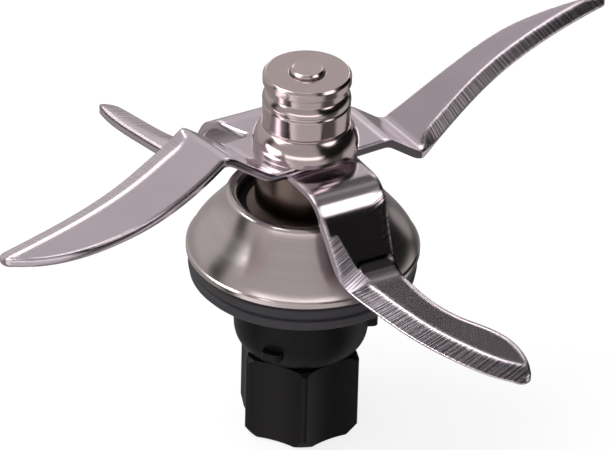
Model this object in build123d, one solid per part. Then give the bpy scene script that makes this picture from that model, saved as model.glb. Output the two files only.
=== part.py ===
from build123d import *
import math
import os

# All sizes in mm. The axis of the shaft is Z, the drive end of the coupling stands on Z = 0.

# Blades
SHEET = 1.3                    # sheet thickness
ARM_HALF_WIDTH = 6.3           # half width of the flat strip next to the hub
ARM_SPAN = 40.0                # width of the bent blank before its outline is cut
BLADE_TOP = 53.8               # top of the upper sheet
STEP_UP_START = 10.9           # upper sheet, raised arm: start of the step
RIDGE_AT = 19.0                # ... and its ridge
RIDGE_RISE = 5.9
RAISED_TIP_RISE = 1.3
RAISED_SKEW = 8.0              # its bend lines lie a little aslant
STEP_DOWN_START = 12.6         # upper sheet, sunk arm
VALLEY_AT = 18.9
VALLEY_DROP = 4.5
SUNK_TIP_RISE = 4.7
LOW_STEP_START = 15.2          # lower sheet, front arm
LOW_STEP_END = 21.9
LOW_STEP_DROP = 12.0
LOW_TIP_DROP = 16.65
REAR_STEP_START = 16.8         # rear arm, set a little further out and lower
REAR_STEP_END = 24.0
REAR_STEP_DROP = 12.95
REAR_TIP_DROP = 17.35
UPPER_REACH = 66.0             # how far each profile runs out before the outline trims it
LOWER_REACH = 58.0
BEND_RADIUS = 3.0              # bends of the upper sheet
LOW_CREST_RADIUS = 5.2         # bends of the lower sheet, above its step
LOW_BEND_RADIUS = 6.0          # and below it
LOWER_TURN = -93.0             # the lower sheet lies across the upper one
BEVEL_WIDTH = 3.1              # ground cutting bevel on the leading edge
SUNK_BEVEL_WIDTH = 2.3         # and on the sunk arm
EDGE_LEFT = 0.25               # thickness left at the cutting edge
GRIND_STEPS = 14               # places along the edge where the bevel is set
FADE_STEPS = 2                 # of them over which it grows to its full width at the heel
HEEL_RISE = 3.4                # front arm: the grind starts this far up the step
TIP_RUNOUT = 4.0               # the grind runs out past the tip by this much

# Hub
HUB_HEIGHT = 13.4
HUB_HEAD_R = 7.3
HUB_NECK_R = 6.6
HUB_FLANGE_R = 8.75
HUB_GROOVE = 0.3               # the two turned grooves
FLARE_HEIGHT = 3.9             # flared foot up to the lower groove
SHOULDER_HEIGHT = 8.4          # foot of the rounded shoulder
RIVET_R = 2.8
RIVET_RISE = 0.7
COLLAR_R = 8.2
COLLAR_FOOT = 43.1
SLEEVE_R = 5.2

# Cone cover and gasket
CONE_R = 19.4
CONE_LIP_R = 11.4
CONE_SHEET = 0.8
CONE_TOP = 44.7
CONE_FOOT = 33.8
RIM_HEIGHT = 0.8
LIP_DEPTH = 3.0
GASKET_INSET = 0.4             # gasket's edge inside the cone's rim
GASKET_GAP = 0.4               # and below it
GASKET_HEIGHT = 4.5
GASKET_BORE_R = 13.2
GASKET_R = CONE_R - GASKET_INSET
GASKET_TOP = CONE_FOOT - GASKET_GAP
GASKET_FOOT = GASKET_TOP - GASKET_HEIGHT

# Bearing housing
HOUSING_R = 11.4
HOUSING_FOOT = 15.6
HOUSING_FOOT_R = 9.4
HOUSING_CORNER = 18.4
LUG_COUNT = 3
LUG_REACH = 12.8
LUG_FOOT = 18.4
LUG_HEIGHT = 1.4
LUG_WIDTH = 3.4
LUG_TURN = -26.0
BOSS_HOLE_R = 5.6
LEDGE_TOP = 18.3

# Shaft and bearings
SHAFT_R = 4.0
UPPER_SEAT = 31.8
UPPER_WIDE = 6.0
UPPER_OUT_R = 9.5
UPPER_PITCH_R = 6.75
UPPER_BALL = 3.0
UPPER_COUNT = 8
LOWER_WIDE = 5.0
LOWER_OUT_R = 8.0
LOWER_PITCH_R = 6.0
LOWER_BALL = 2.4
LOWER_COUNT = 9
BALL_PLAY = 0.05               # ball to raceway
RING_LAND = 0.55               # ring shoulder kept back from the pitch circle
CAGE_THICK = 0.7
CAGE_PLAY = 0.12
CIRCLIP_THICK = 1.0
CIRCLIP_GROOVE = 0.8
SEAL_FOOT = 39.1
SEAL_TOP = 42.4
LIP_PLAY = 0.03                # seal lip to sleeve

# Drive coupling
CORNER_R = 11.15
COUPLING_HEIGHT = 15.1
FACE_HOLLOW = 1.0
CORNER_ROUND = 0.7
FOOT_CHAMFER = (1.5, 2.2)      # radial and axial
HEAD_CHAMFER = (1.2, 1.0)
COUPLING_TURN = 2.3
BOSS_R = 5.0
THREAD_R = 3.0
SHAFT_FOOT = 0.8               # threaded end, clear of the plane it stands on
RECESS_R = 7.0
RECESS_DEPTH = 5.0
WASHER_R = 6.0
WASHER_THICK = 0.8
NUT_FLATS = 10.0
NUT_HEIGHT = 3.0

KEY_HALF = 3.2                 # flats of the shaft that turn the blades and the coupling

# Plan of the arms along +X: leading edge (-Y side), tip, trailing edge (+Y side)
RAISED_LEAD = [(19.8, -ARM_HALF_WIDTH), (28.5, -2.7), (35.1, 0.2),
               (43.1, 2.7), (50.5, 4.2), (59.7, 5.5)]
RAISED_TIP = (61.6, 7.6)
RAISED_TRAIL = [(60.2, 9.7), (51.6, 13.8), (45.4, 14.3),
                (38.3, 13.6), (30.2, 11.3), (19.5, ARM_HALF_WIDTH)]
SUNK_LEAD = [(18.9, -ARM_HALF_WIDTH), (25.4, -2.8), (32.7, 0.8),
             (39.1, 3.5), (50.8, 6.6), (63.8, 7.9)]
SUNK_TIP = (65.2, 8.9)
SUNK_TRAIL = [(63.9, 10.0), (54.6, 12.5), (47.9, 13.0),
              (39.6, 11.7), (28.0, 8.6), (19.5, ARM_HALF_WIDTH)]
LOW_LEAD = [(16.3, -ARM_HALF_WIDTH), (21.3, -5.2), (30.3, -2.9),
            (38.7, -0.2), (45.6, 3.2), (50.6, 6.5), (52.9, 8.8)]
LOW_TIP = (54.0, 10.7)
LOW_TRAIL = [(52.5, 12.2), (49.2, 13.1), (45.2, 13.0), (41.0, 11.2), (37.3, 8.6),
             (31.9, 6.2), (25.0, 5.1), (20.7, 5.0), (16.1, 5.9), (12.0, ARM_HALF_WIDTH)]
REAR_LEAD = [(17.5, -ARM_HALF_WIDTH), (22.5, -4.2), (28.0, 1.0), (33.0, 4.2),
             (39.7, 5.9), (46.0, 6.6), (51.7, 7.3)]
REAR_TIP = (53.0, 9.1)
REAR_TRAIL = [(51.8, 10.9), (46.7, 11.5), (39.8, 11.3), (30.0, 10.4),
              (21.0, 9.6), (16.0, 9.0), (9.0, ARM_HALF_WIDTH)]

SHEET_FOOT = BLADE_TOP - 2 * SHEET
UPPER_BEARING_TOP = UPPER_SEAT + UPPER_WIDE
LOWER_BEARING_TOP = LEDGE_TOP + LOWER_WIDE


def turned(points):
    """Solid of revolution about Z from radius-height points."""
    outline = make_face(Polyline(*[(r, 0, z) for r, z in points], close=True))
    return revolve(outline, Axis.Z, 360)


def tube(outer, inner, foot, top):
    """Plain ring standing on Z."""
    return turned([(inner, foot), (outer, foot), (outer, top), (inner, top)])


def bent_strip(line_points, radii, width):
    """Sheet of constant thickness bent along a side-view line of its top face."""
    side = rounded_side(line_points, radii)
    return extrude(side, width / 2, dir=(0, 1, 0), both=True)


def rounded_side(line_points, radii):
    """Side view of a bent sheet: the top line and the same line one thickness below, corners rounded."""
    below = shifted_line(line_points, SHEET)
    outline = make_face(Polyline(*[(x, 0, z) for x, z in line_points + below[::-1]], close=True))
    for (x, z), (u, v), radius in zip(line_points[1:-1], below[1:-1], radii):
        hollow_top = v_turn(line_points, (x, z)) > 0
        top_radius = radius if hollow_top else radius + SHEET
        low_radius = radius + SHEET if hollow_top else radius
        outline = round_corner(outline, x, z, top_radius)
        outline = round_corner(outline, u, v, low_radius)
    return outline


def v_turn(points, corner):
    """Sign of the turn at one corner: positive where the line turns upward."""
    i = points.index(corner)
    (ax, az), (bx, bz), (cx, cz) = points[i - 1], points[i], points[i + 1]
    return (bx - ax) * (cz - bz) - (bz - az) * (cx - bx)


def round_corner(face, x, z, radius):
    """Round the corner of a face that lies at one point of the XZ plane."""
    corner = face.vertices().sort_by_distance((x, 0, z))[0]
    return fillet(corner, radius)


def shifted_line(points, gap):
    """The same open line moved down by gap, measured square to it."""
    moved = []
    for i, (x, z) in enumerate(points):
        before = points[max(i - 1, 0)]
        here = points[i]
        after = points[min(i + 1, len(points) - 1)]
        a = unit(before, here) if i > 0 else unit(here, after)
        b = unit(here, after) if i < len(points) - 1 else a
        nx = a[1] + b[1]
        nz = -a[0] - b[0]
        scale = gap / (1 + a[0] * b[0] + a[1] * b[1])
        moved.append((x + nx * scale, z + nz * scale))
    return moved


def unit(p, q):
    """Unit direction from p to q."""
    length = math.dist(p, q)
    return ((q[0] - p[0]) / length, (q[1] - p[1]) / length)


def arm_outline(lead, tip, trail):
    """Plan of one arm along +X: straight strip, leading edge, rounded tip, trailing edge.

    Leading edge is on the -Y side, because the knife turns clockwise seen from above."""
    heel = (lead[0][0], -ARM_HALF_WIDTH)
    root = (trail[-1][0], ARM_HALF_WIDTH)
    lead_line = Spline(heel, *lead[1:])
    trail_line = Spline(*trail[:-1], root)
    tip_line = ThreePointArc(lead[-1], tip, trail[0])
    back = Polyline(root, (0, ARM_HALF_WIDTH), (0, -ARM_HALF_WIDTH), heel)
    return make_face([*lead_line.edges(), *tip_line.edges(), *trail_line.edges(), *back.edges()])


def keyed_bar(foot, top):
    """Round bar with two flats."""
    bar = tube_solid(SHAFT_R, foot, top)
    slab = Pos(0, 0, (foot + top) / 2) * Box(4 * SHAFT_R, 2 * KEY_HALF, top - foot)
    return bar & slab


def tube_solid(radius, foot, top):
    """Plain cylinder between two heights."""
    return Pos(0, 0, foot) * Cylinder(radius, top - foot, align=(Align.CENTER, Align.CENTER, Align.MIN))


def trimmed(blank, plan, foot, top):
    """The part of a bent blank that lies inside a plan outline."""
    return blank & Pos(0, 0, foot) * extrude(plan, top - foot)


def ground(arm, lead, heel, top_at, bevel):
    """Grind the long bevel on the top of the leading edge, fading in at the heel and out past the tip."""
    line = Spline(*lead)
    start = share_at(line, heel)
    sections = []
    for i in range(GRIND_STEPS + 1):
        share = start + (1 - start) * i / GRIND_STEPS
        fade = min(1.0, (i + 0.5) / FADE_STEPS)
        sections.append(grind_section(line @ share, line % share, fade, bevel, top_at))
    end = line @ 1 + TIP_RUNOUT * (line % 1)
    sections.append(grind_section(end, line % 1, 1.0, bevel, top_at))
    return arm - loft(sections)


def share_at(line, reach):
    """How far along a leading edge it first lies this far from the axis, as a share of its length."""
    low = 0.0
    high = 1.0
    for _ in range(24):
        middle = (low + high) / 2
        if (line @ middle).X < reach:
            low = middle
        else:
            high = middle
    return high


def grind_section(place, along, fade, bevel, top_at):
    """Triangle taken off the leading edge, square to it, at one place along it."""
    depth = (SHEET - EDGE_LEFT) * fade
    width = bevel * fade
    spare = 0.3
    edge = (place.X + spare * width * along.Y, place.Y - spare * width * along.X)
    deep = (place.X - (1 + spare) * width * along.Y, place.Y + (1 + spare) * width * along.X)
    low = top_at(edge[0]) - depth * (1 + spare)
    high = top_at(deep[0]) + depth * spare
    corners = [(*edge, low), (*deep, high), (*edge, high + depth)]
    return make_face(Polyline(*corners, close=True))


def line_height(points, radius):
    """Top of a bent line over its last bend, as a function of the distance from the axis."""
    before, bend, end = points[-3:]
    a = unit(before, bend)
    b = unit(bend, end)
    upward = a[0] * b[1] - a[1] * b[0] > 0
    if not upward:
        return lambda x: bend[1] + b[1] / b[0] * (x - bend[0])
    back = radius * math.tan(math.acos(a[0] * b[0] + a[1] * b[1]) / 2)
    centre = (bend[0] - back * a[0] - radius * a[1], bend[1] - back * a[1] + radius * a[0])

    def height(x):
        if x < bend[0] - back * a[0]:
            return bend[1] + a[1] / a[0] * (x - bend[0])
        if x > bend[0] + back * b[0]:
            return bend[1] + b[1] / b[0] * (x - bend[0])
        return centre[1] - math.sqrt(radius ** 2 - (x - centre[0]) ** 2)

    return height


def one_arm(line, radii, plan, lead, reach, bevel, skew=0, heel_rise=0):
    """One arm along +X with the flat half next to the hub, bent, cut to its plan and ground."""
    full = [(-reach / 10, 0)] + line
    arm = trimmed(Rot(0, 0, skew) * bent_strip(full, radii, ARM_SPAN), plan, -reach, reach)
    return ground(arm, lead, line[-2][0] - heel_rise, line_height(line, radii[-1]), bevel)


def upper_blade():
    """Upper sheet: one arm steps down and rises to its tip, the other steps up and falls."""
    sunk_line = [(STEP_DOWN_START, 0), (VALLEY_AT, -VALLEY_DROP), (UPPER_REACH, SUNK_TIP_RISE)]
    raised_line = [(STEP_UP_START, 0), (RIDGE_AT, RIDGE_RISE), (UPPER_REACH, RAISED_TIP_RISE)]
    sunk = one_arm(sunk_line, [BEND_RADIUS] * 2, arm_outline(SUNK_LEAD, SUNK_TIP, SUNK_TRAIL), SUNK_LEAD,
                   UPPER_REACH, SUNK_BEVEL_WIDTH)
    raised = one_arm(raised_line, [BEND_RADIUS] * 2, arm_outline(RAISED_LEAD, RAISED_TIP, RAISED_TRAIL),
                     RAISED_LEAD, UPPER_REACH, BEVEL_WIDTH, RAISED_SKEW)
    sheet = sunk + Rot(0, 0, 180) * raised
    return Pos(0, 0, BLADE_TOP) * sheet - keyed_bar(SHEET_FOOT - 1, BLADE_TOP + 1)


def lower_blade():
    """Lower sheet: both arms step far down and run out nearly level."""
    front_line = [(LOW_STEP_START, 0), (LOW_STEP_END, -LOW_STEP_DROP), (LOWER_REACH, -LOW_TIP_DROP)]
    rear_line = [(REAR_STEP_START, 0), (REAR_STEP_END, -REAR_STEP_DROP), (LOWER_REACH, -REAR_TIP_DROP)]
    bends = [LOW_CREST_RADIUS, LOW_BEND_RADIUS]
    front = one_arm(front_line, bends, arm_outline(LOW_LEAD, LOW_TIP, LOW_TRAIL), LOW_LEAD,
                    LOWER_REACH, BEVEL_WIDTH, 0, HEEL_RISE)
    rear = one_arm(rear_line, bends, arm_outline(REAR_LEAD, REAR_TIP, REAR_TRAIL), REAR_LEAD,
                   LOWER_REACH, BEVEL_WIDTH)
    sheet = Pos(0, 0, BLADE_TOP - SHEET) * (front + Rot(0, 0, 180) * rear)
    return Rot(0, 0, LOWER_TURN) * sheet - keyed_bar(SHEET_FOOT - 1, BLADE_TOP + 1)


def shaft():
    """Spindle: threaded foot, flats for the coupling, journal, flats for the blades, riveted head."""
    head = BLADE_TOP + HUB_HEIGHT
    top = head + RIVET_RISE
    foot = turned([(0, SHAFT_FOOT), (THREAD_R, SHAFT_FOOT), (THREAD_R, RECESS_DEPTH), (0, RECESS_DEPTH)])
    journal = tube_solid(SHAFT_R, LEDGE_TOP, SHEET_FOOT)
    neck = turned([(0, BLADE_TOP), (RIVET_R, BLADE_TOP), (RIVET_R, top - 0.35), (RIVET_R - 0.35, top),
                   (0, top)])
    return foot + keyed_bar(RECESS_DEPTH, LEDGE_TOP) + journal + keyed_bar(SHEET_FOOT, BLADE_TOP) + neck


def blade_hub():
    """Turned knob: flat head, neck, rounded shoulder, barrel between two grooves and a flared foot."""
    z = BLADE_TOP
    top = z + HUB_HEIGHT
    in_groove = HUB_HEAD_R - HUB_GROOVE
    barrel_r = HUB_HEAD_R - 0.05
    low = z + FLARE_HEIGHT
    high = z + SHOULDER_HEIGHT
    outline = Polyline((RIVET_R, 0, z), (HUB_FLANGE_R, 0, z), (HUB_FLANGE_R, 0, z + 0.9))
    outline += ThreePointArc((HUB_FLANGE_R, 0, z + 0.9), (HUB_FLANGE_R - 0.35, 0, z + 2.3),
                             (HUB_HEAD_R, 0, low))
    outline += Polyline((HUB_HEAD_R, 0, low), (in_groove, 0, low), (in_groove, 0, low + HUB_GROOVE),
                        (barrel_r, 0, low + 2 * HUB_GROOVE), (barrel_r, 0, high - 2 * HUB_GROOVE),
                        (in_groove, 0, high - HUB_GROOVE), (in_groove, 0, high), (HUB_HEAD_R, 0, high + 0.1))
    outline += ThreePointArc((HUB_HEAD_R, 0, high + 0.1), (HUB_HEAD_R - 0.2, 0, high + 1.1),
                             (HUB_NECK_R, 0, high + 1.8))
    outline += Polyline((HUB_NECK_R, 0, high + 1.8), (HUB_NECK_R, 0, top - 2.0), (HUB_HEAD_R, 0, top - 1.6),
                        (HUB_HEAD_R, 0, top - 0.45), (HUB_HEAD_R - 0.4, 0, top), (RIVET_R + 0.25, 0, top),
                        (RIVET_R, 0, top - 0.4), (RIVET_R, 0, z))
    return revolve(make_face(outline), Axis.Z, 360)


def hub_collar():
    """Collar under the blades, drawn in to the sleeve that runs in the seal."""
    return turned([(SHAFT_R, UPPER_BEARING_TOP), (SLEEVE_R, UPPER_BEARING_TOP), (SLEEVE_R, COLLAR_FOOT),
                   (COLLAR_R - 0.4, COLLAR_FOOT), (COLLAR_R, COLLAR_FOOT + 0.4), (COLLAR_R, SHEET_FOOT),
                   (SHAFT_R, SHEET_FOOT)])


def cone_cover():
    """Pressed cone: upright rim, slightly bulged flank, rolled lip turned down inside."""
    foot = CONE_FOOT
    knee = foot + RIM_HEIGHT
    lip_in = CONE_LIP_R - 0.45
    skin = CONE_SHEET
    outer = Polyline((CONE_R - 1, 0, foot), (CONE_R, 0, foot), (CONE_R, 0, knee),
                     (CONE_R - 0.3, 0, knee + 0.25))
    flank = Spline((CONE_R - 0.3, 0, knee + 0.25), (CONE_R - 0.95, 0, foot + 2.5),
                   (CONE_R - 2.9, 0, foot + 5.2), (CONE_LIP_R + 1.5, 0, CONE_TOP - 0.5))
    lip = ThreePointArc((CONE_LIP_R + 1.5, 0, CONE_TOP - 0.5), (CONE_LIP_R + 0.5, 0, CONE_TOP),
                        (lip_in, 0, CONE_TOP - 0.9))
    tuck = Polyline((lip_in, 0, CONE_TOP - 0.9), (lip_in, 0, CONE_TOP - LIP_DEPTH),
                    (lip_in + skin, 0, CONE_TOP - LIP_DEPTH), (lip_in + skin, 0, CONE_TOP - 1.3))
    inner = Spline((lip_in + skin, 0, CONE_TOP - 1.3), (CONE_R - 3.75, 0, foot + 4.8),
                   (CONE_R - 1, 0, foot + 1.0))
    close = Polyline((CONE_R - 1, 0, foot + 1.0), (CONE_R - 1, 0, foot))
    return revolve(make_face([*outer.edges(), *flank.edges(), *lip.edges(), *tuck.edges(), *inner.edges(),
                              *close.edges()]), Axis.Z, 360)


def bowl_gasket():
    """Rubber ring with a groove round it and a drawn-in lower lip."""
    mid = (GASKET_TOP + GASKET_FOOT) / 2
    return turned([(GASKET_BORE_R, GASKET_FOOT + 0.5), (GASKET_BORE_R + 0.6, GASKET_FOOT),
                   (GASKET_R - 0.8, GASKET_FOOT), (GASKET_R - 0.25, GASKET_FOOT + 0.6),
                   (GASKET_R, mid - 0.25), (GASKET_R - 0.45, mid), (GASKET_R - 0.45, mid + 0.3),
                   (GASKET_R, mid + 0.55),
                   (GASKET_R, GASKET_TOP - 0.4), (GASKET_R - 0.4, GASKET_TOP), (GASKET_BORE_R, GASKET_TOP)])


def bearing_housing():
    """Moulded housing: plug under the cone, gasket seat, bowl with bayonet lugs, stepped bearing bore."""
    lip_in = CONE_LIP_R - 0.45
    tuck_foot = CONE_TOP - LIP_DEPTH
    plug_r = CONE_R - 1.1
    groove_r = UPPER_OUT_R + CIRCLIP_GROOVE
    groove_top = UPPER_BEARING_TOP + CIRCLIP_THICK
    bowl = Spline((HOUSING_FOOT_R, 0, HOUSING_FOOT), (HOUSING_R - 0.75, 0, HOUSING_FOOT + 1.3),
                  (HOUSING_R - 0.25, 0, HOUSING_CORNER), (HOUSING_R, 0, GASKET_FOOT))
    outside = Polyline((HOUSING_R, 0, GASKET_FOOT), (GASKET_BORE_R, 0, GASKET_FOOT + 0.5),
                       (GASKET_BORE_R, 0, GASKET_TOP), (plug_r, 0, GASKET_TOP),
                       (plug_r, 0, CONE_FOOT + 0.9), (CONE_R - 4.0, 0, CONE_FOOT + 4.4),
                       (lip_in + CONE_SHEET + 0.3, 0, CONE_TOP - 2.2),
                       (lip_in + CONE_SHEET, 0, CONE_TOP - 2.2), (lip_in + CONE_SHEET, 0, tuck_foot),
                       (lip_in, 0, tuck_foot), (lip_in, 0, SEAL_TOP), (UPPER_OUT_R, 0, SEAL_TOP))
    bore = Polyline((UPPER_OUT_R, 0, SEAL_TOP), (UPPER_OUT_R, 0, groove_top), (groove_r, 0, groove_top),
                    (groove_r, 0, UPPER_BEARING_TOP), (UPPER_OUT_R, 0, UPPER_BEARING_TOP),
                    (UPPER_OUT_R, 0, UPPER_SEAT), (LOWER_OUT_R, 0, UPPER_SEAT), (LOWER_OUT_R, 0, LEDGE_TOP),
                    (BOSS_HOLE_R, 0, LEDGE_TOP),
                    (BOSS_HOLE_R, 0, HOUSING_FOOT), (HOUSING_FOOT_R, 0, HOUSING_FOOT))
    body = revolve(make_face([*bowl.edges(), *outside.edges(), *bore.edges()]), Axis.Z, 360)
    for i in range(LUG_COUNT):
        body += Rot(0, 0, LUG_TURN + 360 / LUG_COUNT * i) * bayonet_lug()
    return body


def bayonet_lug():
    """One lug of the bayonet lock, rounded on the outside."""
    inner = HOUSING_R - 1.2
    plan = Pos((inner + LUG_REACH) / 2, 0) * RectangleRounded(LUG_REACH - inner, LUG_WIDTH, 0.9)
    return Pos(0, 0, LUG_FOOT) * extrude(plan, LUG_HEIGHT)


def raceway(pitch_r, ball, mid):
    """Ring of space the balls roll in."""
    return Pos(0, 0, mid) * Torus(pitch_r, ball / 2 + BALL_PLAY)


def inner_ring(pitch_r, ball, foot, wide):
    """Bearing inner ring with its raceway."""
    return tube(pitch_r - RING_LAND, SHAFT_R, foot, foot + wide) - raceway(pitch_r, ball, foot + wide / 2)


def outer_ring(out_r, pitch_r, ball, foot, wide):
    """Bearing outer ring with its raceway."""
    return tube(out_r, pitch_r + RING_LAND, foot, foot + wide) - raceway(pitch_r, ball, foot + wide / 2)


def ball_ring(pitch_r, ball, count, mid):
    """The balls of one bearing."""
    places = PolarLocations(pitch_r, count)
    return [Pos(0, 0, mid) * place * Sphere(ball / 2) for place in places]


def ball_cage(pitch_r, ball, count, mid):
    """Cage with one round pocket for each ball."""
    height = ball + 1.0
    cage = tube(pitch_r + CAGE_THICK / 2, pitch_r - CAGE_THICK / 2, mid - height / 2, mid + height / 2)
    for place in PolarLocations(pitch_r, count):
        cage -= Pos(0, 0, mid) * place * Rot(0, 90, 0) * Cylinder(ball / 2 + CAGE_PLAY, ball)
    return cage


def bearing_circlip():
    """Split ring sprung into the housing's groove."""
    foot = UPPER_BEARING_TOP
    ring = tube(UPPER_OUT_R + CIRCLIP_GROOVE, UPPER_OUT_R - 0.7, foot, foot + CIRCLIP_THICK)
    return ring - Pos(UPPER_OUT_R, 0, foot) * Box(6, 3.0, 4)


def shaft_seal():
    """Rubber lip seal pressed into the housing, its lip on the collar's sleeve."""
    lip_r = SLEEVE_R + LIP_PLAY
    return turned([(UPPER_OUT_R, SEAL_FOOT), (UPPER_OUT_R, SEAL_TOP), (lip_r + 0.9, SEAL_TOP),
                   (lip_r, SEAL_FOOT + 1.6), (lip_r, SEAL_FOOT + 1.3), (lip_r + 0.7, SEAL_FOOT + 0.5),
                   (lip_r + 1.2, SEAL_FOOT + 0.5), (lip_r + 1.2, SEAL_FOOT + 2.2),
                   (UPPER_OUT_R - 1.0, SEAL_FOOT + 2.5), (UPPER_OUT_R - 1.0, SEAL_FOOT)])


def seal_spring():
    """Garter spring round the back of the lip."""
    wire_r = 0.35
    return Pos(0, 0, SEAL_FOOT + 1.1) * Torus(SLEEVE_R + LIP_PLAY + 1.2 + wire_r, wire_r)


def drive_coupling():
    """Six-sided driver with hollow faces, corners turned off at both ends, boss up to the bearing."""
    corners = [(CORNER_R * math.cos(math.radians(60 * i)), CORNER_R * math.sin(math.radians(60 * i)))
               for i in range(6)]
    hollow_r = CORNER_R * math.cos(math.radians(30)) - FACE_HOLLOW
    faces = []
    for i in range(6):
        middle = math.radians(60 * i + 30)
        faces.append(ThreePointArc(corners[i], (hollow_r * math.cos(middle), hollow_r * math.sin(middle)),
                                   corners[(i + 1) % 6]))
    plan = make_face([edge for face in faces for edge in face.edges()])
    plan = fillet(plan.vertices(), CORNER_ROUND)
    envelope = turned([(0, 0), (CORNER_R - FOOT_CHAMFER[0], 0), (CORNER_R, FOOT_CHAMFER[1]),
                       (CORNER_R, COUPLING_HEIGHT - HEAD_CHAMFER[1]),
                       (CORNER_R - HEAD_CHAMFER[0], COUPLING_HEIGHT), (0, COUPLING_HEIGHT)])
    body = Rot(0, 0, COUPLING_TURN) * extrude(plan, COUPLING_HEIGHT) & envelope
    body += tube_solid(BOSS_R, COUPLING_HEIGHT - 1, LEDGE_TOP)
    body -= keyed_bar(-1, LEDGE_TOP + 1)
    return body - tube_solid(RECESS_R, -1, RECESS_DEPTH)


def coupling_washer():
    """Flat washer under the nut."""
    return tube(WASHER_R, THREAD_R, RECESS_DEPTH - WASHER_THICK, RECESS_DEPTH)


def coupling_nut():
    """Hexagon nut with turned-off corners."""
    top = RECESS_DEPTH - WASHER_THICK
    foot = top - NUT_HEIGHT
    corner_r = NUT_FLATS / math.sqrt(3)
    body = Pos(0, 0, foot) * extrude(RegularPolygon(corner_r, 6), NUT_HEIGHT)
    body &= turned([(0, foot), (NUT_FLATS / 2, foot), (corner_r, foot + 0.4), (corner_r, top), (0, top)])
    return body - tube_solid(THREAD_R, foot - 1, top + 1)


UPPER_MID = UPPER_SEAT + UPPER_WIDE / 2
LOWER_MID = LEDGE_TOP + LOWER_WIDE / 2

PIECES = {
    "shaft": shaft(),
    "blade_hub": blade_hub(),
    "upper_blade": upper_blade(),
    "lower_blade": lower_blade(),
    "hub_collar": hub_collar(),
    "upper_inner_ring": inner_ring(UPPER_PITCH_R, UPPER_BALL, UPPER_SEAT, UPPER_WIDE),
    "lower_inner_ring": inner_ring(LOWER_PITCH_R, LOWER_BALL, LEDGE_TOP, LOWER_WIDE),
    "bearing_spacer": tube(SHAFT_R + 1.1, SHAFT_R, LOWER_BEARING_TOP, UPPER_SEAT),
    "drive_coupling": drive_coupling(),
    "coupling_washer": coupling_washer(),
    "coupling_nut": coupling_nut(),
    "cone_cover": cone_cover(),
    "bowl_gasket": bowl_gasket(),
    "bearing_housing": bearing_housing(),
    "upper_outer_ring": outer_ring(UPPER_OUT_R, UPPER_PITCH_R, UPPER_BALL, UPPER_SEAT, UPPER_WIDE),
    "lower_outer_ring": outer_ring(LOWER_OUT_R, LOWER_PITCH_R, LOWER_BALL, LEDGE_TOP, LOWER_WIDE),
    "bearing_circlip": bearing_circlip(),
    "shaft_seal": shaft_seal(),
    "seal_spring": seal_spring(),
    "upper_balls": Compound(ball_ring(UPPER_PITCH_R, UPPER_BALL, UPPER_COUNT, UPPER_MID)),
    "upper_cage": ball_cage(UPPER_PITCH_R, UPPER_BALL, UPPER_COUNT, UPPER_MID),
    "lower_balls": Compound(ball_ring(LOWER_PITCH_R, LOWER_BALL, LOWER_COUNT, LOWER_MID)),
    "lower_cage": ball_cage(LOWER_PITCH_R, LOWER_BALL, LOWER_COUNT, LOWER_MID),
}

os.makedirs("parts", exist_ok=True)
for name, piece in PIECES.items():
    export_step(piece, f"parts/{name}.step")
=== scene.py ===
import math

import bpy
from mathutils import Matrix, Vector


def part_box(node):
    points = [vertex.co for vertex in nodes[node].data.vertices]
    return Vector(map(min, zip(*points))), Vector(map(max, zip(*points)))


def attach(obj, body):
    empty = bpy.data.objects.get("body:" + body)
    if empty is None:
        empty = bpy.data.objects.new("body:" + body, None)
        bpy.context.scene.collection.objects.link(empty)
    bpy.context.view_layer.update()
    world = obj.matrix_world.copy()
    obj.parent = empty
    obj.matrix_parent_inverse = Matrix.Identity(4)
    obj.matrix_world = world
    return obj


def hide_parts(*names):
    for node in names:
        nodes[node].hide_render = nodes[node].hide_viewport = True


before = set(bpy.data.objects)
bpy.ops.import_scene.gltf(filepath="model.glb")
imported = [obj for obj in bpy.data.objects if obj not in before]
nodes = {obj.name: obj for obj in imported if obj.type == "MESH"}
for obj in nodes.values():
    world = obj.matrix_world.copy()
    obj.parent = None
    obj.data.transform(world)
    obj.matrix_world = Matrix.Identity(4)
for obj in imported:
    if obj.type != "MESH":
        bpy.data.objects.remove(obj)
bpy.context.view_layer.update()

# The photograph's frame and the view it was taken from, in pixels, metres and degrees.
FRAME_WIDTH = 609
FOCAL_PIXELS = 6000
METRES_PER_PIXEL = 0.000165
VIEW_AZIMUTH = -123.0
VIEW_ELEVATION = 32.1
VIEW_ROLL = 1.5
TARGET_HEIGHT = 0.03783
TARGET_RIGHT = 0.00018
SENSOR_WIDTH = 36              # millimetres
NEAREST = 0.01
FARTHEST = 20

# Tones.
WHITE = (1, 1, 1, 1)
SOFT_WHITE = (0.85, 0.85, 0.85, 1)
PAPER_LOW = (0.90, 0.90, 0.90, 1)
PAPER_HIGH = (0.93, 0.93, 0.93, 1)
BLADE_STEEL = (0.64, 0.585, 0.635, 1)
# The collar's tone is painted shade: it is darkened to stand in for the shade and dark reflections
# under the blades.
COLLAR_PAINTED_SHADE = (0.14, 0.11, 0.095, 1)
POLISHED_STEEL = (0.56, 0.485, 0.485, 1)
COVER_STEEL = (0.60, 0.545, 0.545, 1)
RING_STEEL = (0.55, 0.55, 0.56, 1)
GREY_RUBBER = (0.029, 0.027, 0.031, 1)
BROWN_RUBBER = (0.11, 0.083, 0.072, 1)
BLACK_PLASTIC = (0.0035, 0.0028, 0.0037, 1)
AMBER_PLASTIC = (0.42, 0.32, 0.18, 1)

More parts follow.
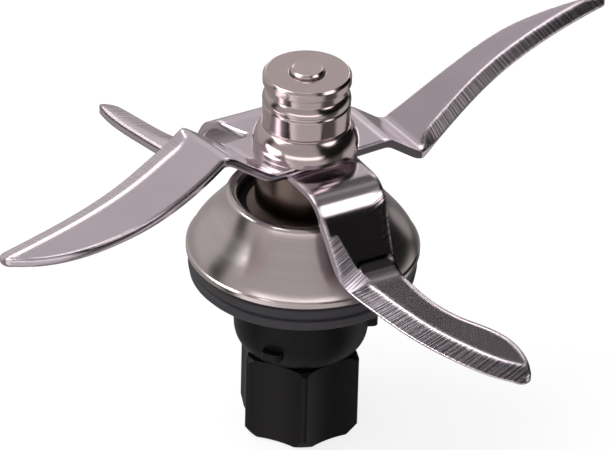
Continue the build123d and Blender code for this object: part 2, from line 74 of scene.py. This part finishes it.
# Turned steel: finish, tone, least and greatest roughness, nodes.
TURNED = [
    ("hub_polish", POLISHED_STEEL, 0.13, 0.19, ["blade_hub"]),
    # the collar's dark tone is painted shade, not the steel's own colour
    ("collar_painted_shade", COLLAR_PAINTED_SHADE, 0.2, 0.3, ["hub_collar"]),
    ("shaft_polish", POLISHED_STEEL, 0.16, 0.24, ["shaft"]),
    ("cover_satin", COVER_STEEL, 0.18, 0.25, ["cone_cover"]),
    ("bearing_steel", RING_STEEL, 0.12, 0.2, [
        "upper_inner_ring", "lower_inner_ring", "upper_outer_ring", "lower_outer_ring",
        "upper_balls", "lower_balls", "bearing_circlip", "bearing_spacer", "seal_spring",
        "coupling_washer", "coupling_nut"]),
]
RINGS_PER_METRE = 4200
RING_DETAIL = 2.0
RING_SHARE = 0.6               # how much of the change of tone follows the rings
TURNED_CLOUD = 160             # clouds are the broad, faint changes of tone
TURNED_RELIEF = (0.05, 0.00005)    # strength and depth of the bump, here and below
TURNED_SHADES = (0.9, 1.05)

# Moulded rubber and plastic: finish, tone, least and greatest roughness, gloss, grain, nodes.
MOULDED = [
    ("gasket_rubber", GREY_RUBBER, 0.5, 0.65, 0.35, 1800, ["bowl_gasket"]),
    ("seal_rubber", BROWN_RUBBER, 0.3, 0.42, 0.5, 2200, ["shaft_seal"]),
    ("black_plastic", BLACK_PLASTIC, 0.36, 0.48, 0.17, 2600, ["bearing_housing", "drive_coupling"]),
    ("cage_plastic", AMBER_PLASTIC, 0.4, 0.55, 0.4, 2000, ["upper_cage", "lower_cage"]),
]
MOULDED_CLOUD = 120
MOULDED_RELIEF = (0.15, 0.0001)
MOULDED_SHADES = (0.75, 1.25)
SMALL_ROUND = 0.0002           # broken edges of turned and moulded pieces

# The blades. A pair is where a mask starts and where it is full.
EDGE_ROUND = 0.0012            # how softly the faces of the sheet meet
SHARP_ROUND = 0.00025          # and at the cutting edge
UPPER_FACE = (0.3, 0.4)        # upward share of a normal
UNDERSIDE = (-0.4, -0.6)
BEVEL_AHEAD = (0.13, 0.19)     # share of a normal that points the way the blades turn
CUTTING_AHEAD = (0.29, 0.36)
BACK_AHEAD = (-0.06, -0.14)
SUNK_ARM = (0.012, 0.016)      # along X
RAISED_ARM = (-0.010, -0.014)
RAISED_POLISH = 0.8            # how far the ground lines are gone on the raised arm

# The ground start of the front arm's edge, on its step.
FRONT_ARM = (-0.0523, -0.9986, 0)
FRONT_SIDE = (0.9986, -0.0523, 0)
HEEL_FROM = 0.0182             # along the front arm
HEEL_TO = 0.0236
HEEL_END_SOFT = 0.0002
HEEL_SLANT = 0.68              # its border runs out this fast across the arm
HEEL_OFFSET = 0.01625
HEEL_BORDER = (0, 0.0003)
HEEL_FACE = (0.08, 0.16)
HEEL_LEAN = 0.8                # slant of its lines

# The hollow bend at the foot of the lower sheet's steps is painted nearly black, a painted dark
# reflection of the dark step.
LOWER_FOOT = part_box("lower_blade")[0].z
DIP_HEIGHT = (LOWER_FOOT + 0.012, LOWER_FOOT + 0.008)
DIP_START = (0.5, 0.58)        # upward share of the rounded normal
DIP_END = (0.93, 0.8)
DIP_PAINTED_DARK = 0.012

LINES_PER_METRE = 4200         # grinding marks across the edge
LINE_DETAIL = 1.0
LINE_BORDER = (0.36, 0.6)
LINE_SHADES = (0.25, 1.35)
BLADE_CLOUD = 90
BLADE_SPECK = 5200
SPARK_BORDER = (0.70, 0.76)    # the brightest specks
CLOUD_SHARE = 0.8              # the rest of the change of tone follows the specks
FACE_SHADES = (0.92, 1.06)
SATIN_ROUGH = 0.12
CLOUD_ROUGH = 0.05
SPARK_ROUGH = 0.14
LINE_ROUGH = 0.04
HEEL_ROUGH = 0.3
UNDER_ROUGH = 0.25
SPECK_HEIGHT = 0.04
LINE_HEIGHT = 0.5
HEEL_HEIGHT = 6
BLADE_RELIEF = (0.12, 0.00008)
BEVEL_SAMPLES = 8
GRAIN_DETAIL = 4.0

# The seal's garter spring: coils, points in a coil, sides of the wire, and the radii of coil and
# wire as shares of the room.
SPRING_COILS = 64
COIL_POINTS = 10
WIRE_SIDES = 8
COIL_SHARE = 0.74
WIRE_SHARE = 0.24

# The studio that the steel mirrors: light level by degrees to the right of the camera, below and
# above the horizon, and cards and lamps as (degrees right, degrees up, inner and outer radius in
# degrees, level). Where cards overlap, the later one is seen.
LOW_WALLS = [
    (-180, 0.4), (-88, 0.42), (-80, 0.05), (-70, 0.05), (-62, 1.3), (-35, 1.1), (-20, 0.68),
    (40, 0.65), (52, 0.1), (80, 0.12), (90, 0.65), (125, 0.6), (140, 0.05), (180, 0.28)]
HIGH_WALLS = [
    (-180, 0.62), (-102, 0.60), (-95, 0.04), (-84, 0.04), (-77, 0.55), (28, 0.55), (35, 0.004),
    (152, 0.004), (158, 0.8), (180, 0.62)]
CARDS = [
    (172, 45, 7, 12, 0.085), (-160, 43, 6, 9, 0.42), (-152, 76, 10, 13, 0.08),
    (156, 57, 6, 9, 0.12), (141, 57, 6, 9, 0.4), (112, 62, 8, 12, 0.2), (74, 50, 12, 16, 2.8),
    (-167, 16, 2.5, 4.5, 4), (-168.5, 21, 3.5, 5.5, 4), (-169.5, 27, 3.5, 5.5, 4),
    (-176.5, 60, 5, 7.5, 5), (165, 28, 6, 9, 4), (149, 2, 10, 14, 0.4)]
WALL_TINT = (1, 0.94, 0.935)
HORIZON = (-0.25, 0.05)        # heights between which the low walls give way to the high ones
STRIP_HEIGHT = (0.0, 0.18, 0.03)   # a long low lamp behind the camera: its foot, top and softness
STRIP_SWING = (-45, 35)        # degrees right
STRIP_SOFT = 0.02              # in turns
STRIP_LEVEL = 2.4

# The key light, up and to the left of the camera, and the paper on the floor.
LAMP_AIM = 0.04
LAMP_RISE = 0.7
LAMP_LEFT = 0.5
LAMP_SIZE = 0.5
LAMP_POWER = 6
FLOOR_RADIUS = 4
FLOOR_SIDES = 64
FLOOR_HEIGHT = -0.0003
FLOOR_GRAIN = 900
FLOOR_ROUGH = 0.9
FLOOR_GLOW = 0.8               # share of plain white that the camera sees

# Output sockets that are told apart by number.
GENERATED, NORMAL, OBJECT = 0, 1, 3
X, Z = 0, 2
CAMERA_RAY, GLOSSY_RAY = 0, 3
NUMBER = 1                     # the number, not the vector, that Vector Math gives
COLOUR = 2
VECTOR = 1


class Field:
    """An output socket of a node tree. Arithmetic on it adds Math nodes to that tree."""

    def __init__(self, tree, socket=None):
        self.tree = tree
        self.socket = socket

    def node(self, kind, settings=None, values=None, output=0):
        """A new node: its settings first, then the values or links of its sockets."""
        made = self.tree.nodes.new(kind)
        for name, value in (settings or {}).items():
            if name == "stops":
                fill_ramp(made.color_ramp, value)
            else:
                setattr(made, name, value)
        for name, value in (values or {}).items():
            if isinstance(value, Field):
                self.tree.links.new(value.socket, made.inputs[name])
            else:
                made.inputs[name].default_value = value
        return Field(self.tree, made.outputs[output])

    def math(self, operation, first, second=0.0):
        return self.node("ShaderNodeMath", {"operation": operation}, {0: first, 1: second})

    def vector(self, operation, other=(0, 0, 0), output=0):
        """Vector maths on this and another vector."""
        return self.node("ShaderNodeVectorMath", {"operation": operation}, {0: self, 1: other}, output)

    def __add__(self, other):
        return self.math("ADD", self, other)

    def __sub__(self, other):
        return self.math("SUBTRACT", self, other)

    def __rsub__(self, other):
        return self.math("SUBTRACT", other, self)

    def __mul__(self, other):
        return self.math("MULTIPLY", self, other)

    __radd__ = __add__
    __rmul__ = __mul__

    def step(self, low, high):
        """0 below low, 1 above high, smooth between; turned round where low is the larger."""
        if low < high:
            return self.node("ShaderNodeMapRange", {"interpolation_type": "SMOOTHSTEP"},
                             {"Value": self, "From Min": low, "From Max": high})
        return 1 - self.step(high, low)

    def between(self, low, high, soft):
        """1 between low and high, 0 outside, with soft borders."""
        return self.step(low - soft, low + soft) * self.step(high + soft, high - soft)

    def colour(self, first, second):
        """A colour that goes from first to second as this value goes from 0 to 1."""
        return self.node("ShaderNodeMix", {"data_type": "RGBA"},
                         {"Factor": self, 6: first, 7: second}, COLOUR)

    def noise(self, detail):
        """Smooth noise along one line, from 0 to 1."""
        return self.node("ShaderNodeTexNoise", {"noise_dimensions": "1D"},
                         {"W": self, "Scale": 1.0, "Detail": detail})

    def part(self, axis):
        """One part of this vector."""
        return self.node("ShaderNodeSeparateXYZ", None, {0: self}, axis)

    def along(self, direction):
        """How far this vector goes along a direction."""
        return self.vector("DOT_PRODUCT", direction, NUMBER)


def fill_ramp(ramp, stops):
    """Set a colour ramp's stops, each a place and a colour."""
    while len(ramp.elements) > 1:
        ramp.elements.remove(ramp.elements[-1])
    ramp.elements[0].position, ramp.elements[0].color = stops[0]
    for place, colour in stops[1:]:
        ramp.elements.new(place).color = colour


def new_finish(name):
    """An empty material with a shader, and its tree to add nodes to."""
    finish = bpy.data.materials.new(name)
    finish.use_nodes = True
    tree = finish.node_tree
    return finish, Field(tree), tree.nodes["Principled BSDF"]


def feed(tree, shader, **links):
    """Link what varies over the surface to the shader's sockets."""
    names = {"base": "Base Color", "rough": "Roughness", "normal": "Normal"}
    for key, field in links.items():
        tree.tree.links.new(field.socket, shader.inputs[names[key]])


def surface(tree, output):
    """The object coordinates or normal of the surface."""
    return tree.node("ShaderNodeTexCoord", output=output)


def from_shaft(point):
    """The distance from the shaft's axis."""
    return point.vector("MULTIPLY", (1, 1, 0)).vector("LENGTH", output=NUMBER)


def facing_ahead(normal, point, radius):
    """How far a normal points the way the blades turn, from -1 to 1."""
    lever = normal.vector("CROSS_PRODUCT", point).part(Z)
    return lever.math("DIVIDE", lever, radius)


def grain(point, scale):
    """Fine noise over the surface."""
    return point.node("ShaderNodeTexNoise", None,
                      {"Vector": point, "Scale": scale, "Detail": GRAIN_DETAIL})


def shade(tone, share):
    """A tone made lighter or darker."""
    return tuple(share * part for part in tone[:3]) + (1,)


def shaded(field, tone, shares):
    """A tone that goes from its first to its second shade with a field."""
    return field.colour(shade(tone, shares[0]), shade(tone, shares[1]))


def bump(tree, height, relief, normal):
    """A normal with small heights on it; relief is their strength and depth."""
    strength, depth = relief
    return tree.node("ShaderNodeBump", None, {"Height": height, "Strength": strength,
                                              "Distance": depth, "Normal": normal})


def rounded(tree, radius):
    """The surface normal with its sharp edges broken by a small radius."""
    return tree.node("ShaderNodeBevel", {"samples": BEVEL_SAMPLES}, {"Radius": radius})


def soft_ridge(tree, wide, ahead, x):
    """Blade normals: well rounded where the bevel meets the face, nearly sharp at the cutting edge
    and at the back of the sunk arm."""
    back_edge = ahead.step(*BACK_AHEAD) * x.step(*SUNK_ARM)
    thin = tree.math("MAXIMUM", ahead.step(*CUTTING_AHEAD), back_edge)
    return tree.node("ShaderNodeMix", {"data_type": "VECTOR"},
                     {"Factor": thin, 4: wide, 5: rounded(tree, SHARP_ROUND)}, VECTOR)


def blade_finish(name, tone):
    """Rolled sheet with a satin face, sparkling specks, fine lines across the ground edge, and a
    painted dark reflection in the hollow bend of the lower sheet.
    """
    finish, tree, shader = new_finish(name)
    point = surface(tree, OBJECT)
    normal = surface(tree, NORMAL)
    x, z, up = point.part(X), point.part(Z), normal.part(Z)
    radius = from_shaft(point)
    wide = rounded(tree, EDGE_ROUND)
    own = tree.node("ShaderNodeVectorTransform",
                    {"vector_type": "NORMAL", "convert_to": "OBJECT"}, {0: wide})

    bevel = facing_ahead(normal, point, radius).step(*BEVEL_AHEAD) * up.step(*UPPER_FACE)
    bevel = bevel * (1 - RAISED_POLISH * x.step(*RAISED_ARM))
    out = point.along(FRONT_ARM)
    side = point.along(FRONT_SIDE)
    heel = (HEEL_SLANT * out - HEEL_OFFSET - side).step(*HEEL_BORDER)
    heel = heel * out.between(HEEL_FROM, HEEL_TO, HEEL_END_SOFT) * up.step(*HEEL_FACE)
    marked = tree.math("MAXIMUM", bevel, heel)
    lines = (radius + heel * (HEEL_LEAN * side - z)) * LINES_PER_METRE
    lines = lines.noise(LINE_DETAIL).step(*LINE_BORDER)
    soft_up = own.part(Z)
    # painted dark reflection: a mask over the hollow bend at the foot of the lower sheet's steps
    dark_reflection_painted = z.step(*DIP_HEIGHT) * soft_up.step(*DIP_START) * soft_up.step(*DIP_END) * (1 - marked)
    under = up.step(*UNDERSIDE)

    cloud = grain(point, BLADE_CLOUD)
    speck = grain(point, BLADE_SPECK)
    face = shaded(cloud * CLOUD_SHARE + speck * (1 - CLOUD_SHARE), tone, FACE_SHADES)
    base = marked.colour(face, shaded(lines, tone, LINE_SHADES))
    # painted dark reflection: the hollow bend's base colour is made nearly black
    base = dark_reflection_painted.colour(base, shade(tone, DIP_PAINTED_DARK))
    rough = SATIN_ROUGH + CLOUD_ROUGH * cloud + SPARK_ROUGH * speck.step(*SPARK_BORDER)
    rough = rough + (LINE_ROUGH * marked + HEEL_ROUGH * heel) * lines + UNDER_ROUGH * under
    height = SPECK_HEIGHT * speck * (1 - marked)
    height = height + (LINE_HEIGHT * marked + HEEL_HEIGHT * heel) * lines
    ridge = soft_ridge(tree, wide, facing_ahead(own, point, radius), x)
    feed(tree, shader, base=base, rough=rough, normal=bump(tree, height, BLADE_RELIEF, ridge))
    shader.inputs["Metallic"].default_value = 1.0
    return finish


def turned_finish(name, tone, low, high):
    """Steel turned on a lathe: faint rings round the axis."""
    finish, tree, shader = new_finish(name)
    point = surface(tree, OBJECT)
    rings = ((point.part(Z) + from_shaft(point)) * RINGS_PER_METRE).noise(RING_DETAIL)
    cloud = grain(point, TURNED_CLOUD)
    base = shaded(RING_SHARE * rings + (1 - RING_SHARE) * cloud, tone, TURNED_SHADES)
    rough = low + (high - low) * 0.5 * (rings + cloud)
    fine = bump(tree, rings, TURNED_RELIEF, rounded(tree, SMALL_ROUND))
    feed(tree, shader, base=base, rough=rough, normal=fine)
    shader.inputs["Metallic"].default_value = 1.0
    return finish


def moulded_finish(name, tone, low, high, gloss, scale):
    """Moulded rubber or plastic with a fine spark-eroded grain."""
    finish, tree, shader = new_finish(name)
    point = surface(tree, OBJECT)
    cloud = grain(point, MOULDED_CLOUD)
    speck = grain(point, scale)
    base = shaded(0.5 * (cloud + speck), tone, MOULDED_SHADES)
    fine = bump(tree, speck, MOULDED_RELIEF, rounded(tree, SMALL_ROUND))
    feed(tree, shader, base=base, rough=low + (high - low) * cloud, normal=fine)
    shader.inputs["Specular IOR Level"].default_value = gloss
    return finish


def floor_finish():
    """White paper that keeps a pale shadow for the camera."""
    finish, tree, shader = new_finish("floor_paper")
    feed(tree, shader, base=grain(surface(tree, OBJECT), FLOOR_GRAIN).colour(PAPER_LOW, PAPER_HIGH))
    shader.inputs["Roughness"].default_value = FLOOR_ROUGH
    shader.inputs["Specular IOR Level"].default_value = 0.0
    white = tree.node("ShaderNodeEmission", None, {"Color": WHITE, "Strength": 1.0})
    seen = tree.node("ShaderNodeLightPath", output=CAMERA_RAY)
    paper = Field(tree.tree, shader.outputs[0])
    mixed = tree.node("ShaderNodeMixShader", None, {0: seen * FLOOR_GLOW, 1: paper, 2: white})
    out = next(n for n in tree.tree.nodes if n.type == "OUTPUT_MATERIAL")
    tree.tree.links.new(mixed.socket, out.inputs[0])
    return finish


def toward(swing, lift):
    """The direction that lies swing degrees to the right of the camera and lift degrees up."""
    turn = math.radians(VIEW_AZIMUTH + swing)
    rise = math.radians(lift)
    return math.cos(rise) * math.cos(turn), math.cos(rise) * math.sin(turn), math.sin(rise)


def warm(level):
    """A light level with the faint warmth of the studio's walls."""
    return tuple(level * part for part in WALL_TINT) + (1,)


def turns(degrees):
    """Where degrees to the right of the camera lie on the walls, from 0 to 1."""
    return 0.5 + degrees / 360


def walls(swing, levels):
    """One row of walls all round, from its light levels."""
    stops = [(turns(place), warm(level)) for place, level in levels]
    return swing.node("ShaderNodeValToRGB", {"stops": stops}, {0: swing})


def studio():
    """A soft white room with darker flags, as polished metal sees it; plain white to the camera."""
    world = bpy.data.worlds.new("studio")
    bpy.context.scene.world = world
    world.use_nodes = True
    tree = Field(world.node_tree)
    for old in list(world.node_tree.nodes):
        world.node_tree.nodes.remove(old)
    way = surface(tree, GENERATED)
    angle = tree.math("ARCTAN2", way.along(toward(90, 0)), way.along(toward(0, 0)))
    swing = angle * (0.5 / math.pi) + 0.5
    height = way.part(Z)
    seen = height.step(*HORIZON).colour(walls(swing, LOW_WALLS), walls(swing, HIGH_WALLS))
    left, right = STRIP_SWING
    strip = height.between(*STRIP_HEIGHT) * swing.between(turns(left), turns(right), STRIP_SOFT)
    seen = strip.colour(seen, warm(STRIP_LEVEL))
    for place, lift, inner, outer, level in CARDS:
        rim, middle = (math.cos(math.radians(spread)) for spread in (outer, inner))
        card = way.along(toward(place, lift)).step(rim, middle)
        seen = card.colour(seen, warm(level))
    lit = tree.node("ShaderNodeLightPath", output=GLOSSY_RAY).colour(SOFT_WHITE, seen)
    shown = tree.node("ShaderNodeLightPath", output=CAMERA_RAY).colour(lit, WHITE)
    sky = tree.node("ShaderNodeBackground", None, {"Color": shown, "Strength": 1.0})
    out = tree.tree.nodes.new("ShaderNodeOutputWorld")
    tree.tree.links.new(sky.socket, out.inputs[0])


def level_right():
    """The level direction to the right of the camera."""
    return Vector(toward(90, 0))


def camera():
    """The photograph's camera: a long lens from the front left, looking down."""
    back = Vector(toward(0, VIEW_ELEVATION))
    level = level_right()
    rise = back.cross(level)
    roll = math.radians(VIEW_ROLL)
    right = level * math.cos(roll) + rise * math.sin(roll)
    up = rise * math.cos(roll) - level * math.sin(roll)
    lens = bpy.data.cameras.new("camera")
    lens.sensor_width = SENSOR_WIDTH
    lens.lens = SENSOR_WIDTH * FOCAL_PIXELS / FRAME_WIDTH
    lens.clip_start = NEAREST
    lens.clip_end = FARTHEST
    holder = bpy.data.objects.new("camera", lens)
    bpy.context.scene.collection.objects.link(holder)
    target = Vector((0, 0, TARGET_HEIGHT)) + level * TARGET_RIGHT
    turned = Matrix((right, up, back)).transposed().to_4x4()
    holder.matrix_world = Matrix.Translation(target + back * FOCAL_PIXELS * METRES_PER_PIXEL) @ turned
    bpy.context.scene.camera = holder


def key_light():
    """A soft square lamp that looks at the object."""
    light = bpy.data.lights.new("key_light", "AREA")
    light.size = LAMP_SIZE
    light.energy = LAMP_POWER
    holder = bpy.data.objects.new("key_light", light)
    bpy.context.scene.collection.objects.link(holder)
    away = Vector((0, 0, LAMP_RISE)) - level_right() * LAMP_LEFT
    holder.location = Vector((0, 0, LAMP_AIM)) + away
    holder.rotation_mode = "QUATERNION"
    holder.rotation_quaternion = away.to_track_quat("Z", "Y")


def floor():
    """A round sheet of paper under the object."""
    mesh = bpy.data.meshes.new("floor")
    corners = [math.tau * i / FLOOR_SIDES for i in range(FLOOR_SIDES)]
    rim = [(FLOOR_RADIUS * math.cos(a), FLOOR_RADIUS * math.sin(a), FLOOR_HEIGHT) for a in corners]
    mesh.from_pydata(rim, [], [list(range(FLOOR_SIDES))])
    sheet = bpy.data.objects.new("floor", mesh)
    bpy.context.scene.collection.objects.link(sheet)
    mesh.materials.append(floor_finish())
    sheet.visible_glossy = False


def spring_tree():
    """A wire wound in small coils round a ring."""
    tree = bpy.data.node_groups.new("garter_spring", "GeometryNodeTree")
    kinds = {"Ring radius": "Float", "Coil radius": "Float", "Wire radius": "Float",
             "Height": "Float", "Coils": "Int", "Finish": "Material"}
    tree.interface.new_socket("Geometry", in_out="INPUT", socket_type="NodeSocketGeometry")
    for name, kind in kinds.items():
        tree.interface.new_socket(name, in_out="INPUT", socket_type="NodeSocket" + kind)
    tree.interface.new_socket("Geometry", in_out="OUTPUT", socket_type="NodeSocketGeometry")
    given = tree.nodes.new("NodeGroupInput")
    sizes = {name: Field(tree, given.outputs[name]) for name in kinds}
    start = Field(tree)
    ring = start.node("GeometryNodeCurvePrimitiveCircle", None,
                      {"Resolution": sizes["Coils"] * COIL_POINTS, "Radius": 1.0})
    share = start.node("GeometryNodeSplineParameter")
    wind = share * sizes["Coils"] * math.tau
    turn = share * math.tau
    reach = sizes["Ring radius"] + sizes["Coil radius"] * start.math("COSINE", wind)
    place = start.node("ShaderNodeCombineXYZ", None, {
        "X": reach * start.math("COSINE", turn),
        "Y": reach * start.math("SINE", turn),
        "Z": sizes["Height"] + sizes["Coil radius"] * start.math("SINE", wind)})
    wire = start.node("GeometryNodeSetPosition", None, {"Geometry": ring, "Position": place})
    section = start.node("GeometryNodeCurvePrimitiveCircle", None,
                         {"Resolution": WIRE_SIDES, "Radius": sizes["Wire radius"]})
    tube = start.node("GeometryNodeCurveToMesh", None, {"Curve": wire, "Profile Curve": section})
    solid = start.node("GeometryNodeRealizeInstances", None, {0: tube})
    done = start.node("GeometryNodeSetMaterial", None,
                      {"Geometry": solid, "Material": sizes["Finish"]})
    tree.links.new(done.socket, tree.nodes.new("NodeGroupOutput").inputs[0])
    return tree


def garter_spring(finish):
    """The seal's spring as a coil, in the room of the plain ring."""
    low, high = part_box("seal_spring")
    room = (high.z - low.z) / 2
    spring = bpy.data.objects.new("garter_spring", bpy.data.meshes.new("garter_spring"))
    bpy.context.scene.collection.objects.link(spring)
    winding = spring.modifiers.new("winding", "NODES")
    winding.node_group = spring_tree()
    sizes = {"Ring radius": high.x - room, "Coil radius": COIL_SHARE * room,
             "Wire radius": WIRE_SHARE * room, "Height": (high.z + low.z) / 2,
             "Coils": SPRING_COILS, "Finish": finish}
    for socket in winding.node_group.interface.items_tree:
        if socket.name in sizes:
            winding[socket.identifier] = sizes[socket.name]
    wound = spring.evaluated_get(bpy.context.evaluated_depsgraph_get())
    spring.data = bpy.data.meshes.new_from_object(wound)
    spring.modifiers.clear()
    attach(spring, "housing")
    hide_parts("seal_spring")


def dress(finish, names):
    """Give CAD nodes their finish."""
    for name in names:
        node = nodes[name]
        node.data.materials.clear()
        node.data.materials.append(finish)


dress(blade_finish("blade_steel", BLADE_STEEL), ["upper_blade", "lower_blade"])
for name, tone, low, high, names in TURNED:
    dress(turned_finish(name, tone, low, high), names)
garter_spring(bpy.data.materials["bearing_steel"])
for name, tone, low, high, gloss, scale, names in MOULDED:
    dress(moulded_finish(name, tone, low, high, gloss, scale), names)

floor()
studio()
camera()
key_light()

bpy.context.scene.view_settings.view_transform = "Standard"
